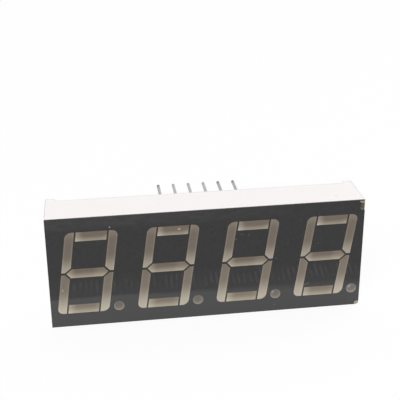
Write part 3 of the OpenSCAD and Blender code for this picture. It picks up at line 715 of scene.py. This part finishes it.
# The holes lie on a grid of a twentieth of the digits' pitch, about the middle of the board.
grid = digit_pitch / 20 / MM
disc_top = copper_back - 0.1
disc_bottom = copper_back - 0.6
holes = bmesh.new()
for r, places in (
    (0.79, ((21.25, 9), (29.5, 4.5), (0.75, 3.25), (19.25, -3), (29.5, -6.5), (-19.5, 3.25),
            (-19.5, -2.25))),
    (0.565, ((11, 7), (18.75, 5), (11.25, -5.5), (21, -9.5), (14.25, -9.25), (33.25, -11),
             (-10, 5), (-30.25, 5), (-30, -6.25), (-2.5, -4.75), (-10.5, -6.25), (-0.25, -2.25))),
):
    for across, up in places:
        turn(holes, across * grid, mid_height / MM + up * grid, (
            (0, disc_top - 0.09), (0.4 * r, disc_top - 0.08), (0.75 * r, disc_top - 0.05),
            (0.93 * r, disc_top), (r, disc_top + 0.03), (r, disc_bottom), (0, disc_bottom),
        ))
new_piece("hole_shade_discs", holes, hole_shade)

# Milky epoxy paste: near the colour of the tinned copper round it, and darker at its rim.
milky_paste, tree = new_material("epoxy_paste_milky")
place = add(tree, "TexCoord", take="Object")
facing = add(tree, "SeparateXYZ", {0: add(tree, "NewGeometry", take="True Normal")}, "Y")
rim = add(tree, "MapRange", {"Value": facing, "From Min": 0.99, "From Max": 0.9})
mottle = add(tree, "TexNoise", {"Vector": place, "Scale": 1 / (0.4 * MM), "Detail": 3})
tone = add(tree, "Mix", {"Factor": mottle, "A": linear("#988775"), "B": linear("#ae9e8d")},
           data_type="RGBA")
tone = add(tree, "Mix", {"Factor": rim, "A": tone, "B": linear("#5c4d40")}, data_type="RGBA")
skin = add(tree, "Bump", {"Height": mottle, "Strength": 0.3, "Distance": 0.04 * MM})
surface = add(tree, "BsdfPrincipled", {"Base Color": tone, "Roughness": 0.45, "Normal": skin})
add(tree, "OutputMaterial", {"Surface": surface})

domes = bmesh.new()
for x, z, r in (
    (21.2, 10.67, 0.55), (22.2, 8.7, 0.55), (8.9, 9.6, 0.65), (-14.65, 16.8, 0.7),
    (-16.7, 3.6, 0.6), (-12.15, 3.25, 0.8), (-22.7, 3.4, 0.6),
):
    turn(domes, x, z, (
        (0, copper_back + 0.06), (0.5 * r, copper_back + 0.055), (0.84 * r, copper_back + 0.04),
        (r, copper_back - 0.01), (0, copper_back - 0.01),
    ))
new_piece("hole_paste_milky", domes, milky_paste)


# ---- Back resin ----
# Clear epoxy is poured over the board to seal it. It climbs the walls and the pins, and it has set
# with a slightly wavy skin, wrinkled where flux boiled up round the pins.
resin_low, resin_high = (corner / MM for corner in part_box("back_resin"))
climb = 0.45
resin_level = resin_high.y - climb
under_skin = (resin_level - 0.15) * MM

# Clear epoxy, poured and cured: a glossy skin over a warm clear body.
potting, tree = new_material("epoxy_poured_clear")
place = add(tree, "TexCoord", take="Object")
depth = add(tree, "SeparateXYZ", {0: place}, "Y")
open_side = add(tree, "Math", {0: depth, 1: under_skin}, operation="GREATER_THAN")
swell = add(tree, "TexNoise", {"Vector": place, "Scale": 1 / (1.2 * MM), "Detail": 2})
skin = add(tree, "Bump", {"Height": swell, "Strength": 0.15, "Distance": 0.1 * MM})
body = add(tree, "BsdfTransparent", {"Color": linear("#fdfbf7")})
# The shine's warm base colour lays a faint milky haze over the whole skin: painted sheen for the
# glare on the resin.
shine = add(tree, "BsdfPrincipled", {"Base Color": linear("#b9ab92"), "Roughness": 0.05,
                                     "IOR": 1.52, "Normal": skin})
glance = add(tree, "Fresnel", {"IOR": 1.52, "Normal": skin})
share = add(tree, "MapRange", {"Value": glance, "From Min": 0, "From Max": 1, "To Min": 0.08,
                               "To Max": 1})
top = add(tree, "MixShader", {"Fac": share, 1: body, 2: shine})
inside = add(tree, "BsdfTransparent", {"Color": linear("#ffffff")})
surface = add(tree, "MixShader", {"Fac": open_side, 1: inside, 2: top})
add(tree, "OutputMaterial", {"Surface": surface})

pin_spots = []
for n in pins:
    low, high = (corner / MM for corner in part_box(f"pin_{n}"))
    pin_spots.append(((low.x + high.x) / 2, (low.z + high.z) / 2))
pin_radius = (high.x - low.x) / 2


def risen(gap):
    """How high the resin stands at this distance from what it wets."""
    return climb - math.sqrt(climb ** 2 - (climb - min(max(gap, 0), climb)) ** 2)


def grid_lines(start, end, spots):
    """Lines of a grid over the resin's skin, closer together round each pin and at both ends."""
    edge_gap, near_pin, step, fine_step = 0.01, 0.85, 0.2, 0.07
    start, end = start + edge_gap, end - edge_gap
    found = []
    for off in (0, 0.03, 0.08, 0.16, 0.27):
        found += [start + off, end - off]
    at = start + 0.4
    while at < end - 0.35:
        found.append(at)
        at += fine_step if any(abs(at - spot) < near_pin for spot in spots) else step
    return sorted(found)


across_lines = grid_lines(resin_low.x, resin_high.x, [x for x, z in pin_spots])
up_lines = grid_lines(resin_low.z, resin_high.z, [z for x, z in pin_spots])
resin = bmesh.new()
skin_rows = []
for z in up_lines:
    row = []
    for x in across_lines:
        wall_gap = min(x - resin_low.x, resin_high.x - x, z - resin_low.z, resin_high.z - z)
        pin_gap = min(math.hypot(x - px, z - pz) for px, pz in pin_spots) - pin_radius
        rise = max(risen(wall_gap), risen(pin_gap))
        wave = noise.noise(Vector((x / 5, 0, z / 4))) * 0.05
        wrinkle = noise.noise(Vector((x / 0.7, 3, z / 0.7))) * 0.07 * max(0, 1 - pin_gap / 1.3)
        calm = 1 - rise / climb
        y = resin_level + rise + (wave + wrinkle) * calm
        row.append(resin.verts.new(Vector((x, y, z)) * MM))
    skin_rows.append(row)
for below, above in zip(skin_rows, skin_rows[1:]):
    for i in range(len(below) - 1):
        resin.faces.new((below[i], above[i], above[i + 1], below[i + 1]))
# It ends a hair above the copper, in four flat sides and a flat base.
base = [resin.verts.new(Vector((x, copper_back + 0.005, z)) * MM) for x, z in (
    (across_lines[0], up_lines[0]), (across_lines[-1], up_lines[0]),
    (across_lines[-1], up_lines[-1]), (across_lines[0], up_lines[-1]),
)]
left_side = [row[0] for row in skin_rows]
right_side = [row[-1] for row in skin_rows]
for outline in (
    base,
    skin_rows[0] + [base[1], base[0]],
    skin_rows[-1][::-1] + [base[3], base[2]],
    left_side[::-1] + [base[0], base[3]],
    right_side + [base[2], base[1]],
):
    resin.faces.new(outline)
bmesh.ops.recalc_face_normals(resin, faces=resin.faces)
back_resin = new_piece("back_resin_poured", resin, potting)
for polygon in back_resin.data.polygons:
    polygon.use_smooth = len(polygon.vertices) == 4 and polygon.center.y > under_skin
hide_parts("back_resin")

# Air trapped where the flux boiled: small bubbles round the feet of the pins, dark at their rims.
trapped_air, tree = new_material("air_bubble_in_epoxy")
edge_on = add(tree, "LayerWeight", {"Blend": 0.45}, "Facing")
rim = add(tree, "MapRange", {"Value": edge_on, "From Min": 0.25, "From Max": 0.8, "To Max": 0.85})
place = add(tree, "TexCoord", take="Object")
film_of_air = add(tree, "TexNoise", {"Vector": place, "Scale": 1 / (0.05 * MM)})
gloss = add(tree, "MapRange", {"Value": film_of_air, "To Min": 0.05, "To Max": 0.15})
shell = add(tree, "BsdfPrincipled", {"Base Color": linear("#4b433b"), "Roughness": gloss})
hollow = add(tree, "BsdfTransparent", {"Color": linear("#ffffff")})
surface = add(tree, "MixShader", {"Fac": rim, 1: hollow, 2: shell})
add(tree, "OutputMaterial", {"Surface": surface})

bubbles = bmesh.new()
for px, pz in pin_spots:
    for _ in range(chance.randint(2, 4)):
        turned = chance.uniform(0, 2 * math.pi)
        away = chance.uniform(0.62, 1.25)
        r = chance.uniform(0.05, 0.12)
        middle = Vector((px + away * math.cos(turned),
                         chance.uniform(copper_back + 0.2, resin_level - 0.2),
                         pz + 0.75 * away * math.sin(turned))) * MM
        bmesh.ops.create_icosphere(bubbles, subdivisions=2, radius=r * MM,
                                   matrix=Matrix.Translation(middle))
new_piece("resin_bubbles", bubbles, trapped_air)


# ---- Floor, room and lamps ----
# A pale matt floor under a white room: the floor and the room show as white, and the floor keeps
# a light shadow. A large soft lamp stands in front to the upper left, a weaker one hangs above,
# and a third fills in from behind.
def seen_plain(tree):
    """1 where the camera sees a thing, straight or by way of gloss or glass, and 0 for light."""
    path = add(tree, "LightPath", take="Is Camera Ray").node
    seen = path.outputs["Is Camera Ray"]
    for ray in ("Is Glossy Ray", "Is Transmission Ray"):
        seen = add(tree, "Math", {0: seen, 1: path.outputs[ray]}, operation="MAXIMUM")
    return seen


floor_mesh = bpy.data.meshes.new("floor")
reach = 1500 * MM
floor_mesh.from_pydata(
    [(-reach, -reach, 0), (reach, -reach, 0), (reach, reach, 0), (-reach, reach, 0)], [],
    [(0, 1, 2, 3)],
)
floor = bpy.data.objects.new("floor", floor_mesh)
floor.location.z = -0.02 * MM
scene.collection.objects.link(floor)
floor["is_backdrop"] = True

# Matt white paint: nine tenths of it shows as plain white, and the rest takes the shadow.
floor_paint, tree = new_material("floor_matt_white")
lit = add(tree, "BsdfDiffuse", {"Color": linear("#ffffff")})
white = add(tree, "Emission", {"Color": linear("#ffffff"), "Strength": 1})
share = add(tree, "Math", {0: seen_plain(tree), 1: 0.9}, operation="MULTIPLY")
surface = add(tree, "MixShader", {"Fac": share, 1: lit, 2: white})
add(tree, "OutputMaterial", {"Surface": surface})
floor_mesh.materials.append(floor_paint)

world = bpy.data.worlds.new("room")
scene.world = world
world.use_nodes = True
tree = world.node_tree
tree.nodes.clear()
level = add(tree, "MapRange", {"Value": seen_plain(tree), "To Min": 0.55, "To Max": 1})
sky = add(tree, "Background", {"Color": linear("#ffffff"), "Strength": level})
add(tree, "OutputWorld", {"Surface": sky})

# Each lamp's place and width in mm, and its power in watts.
for name, spot, size, power in (
    ("key_lamp", (-180, -330, 380), 260, 1.0),
    ("top_lamp", (120, 60, 460), 320, 0.3),
    ("rear_lamp", (330, 270, 380), 300, 0.47),
):
    lamp_data = bpy.data.lights.new(name, "AREA")
    lamp_data.shape = "DISK"
    lamp_data.size = size * MM
    lamp_data.energy = power
    lamp = bpy.data.objects.new(name, lamp_data)
    lamp.location = Vector(spot) * MM
    aim = (cad_low + cad_high) / 2 - lamp.location
    lamp.rotation_euler = aim.to_track_quat("-Z", "Y").to_euler()
    scene.collection.objects.link(lamp)

scene.view_settings.view_transform = "Standard"


# ---- The visual model's box ----
low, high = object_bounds()
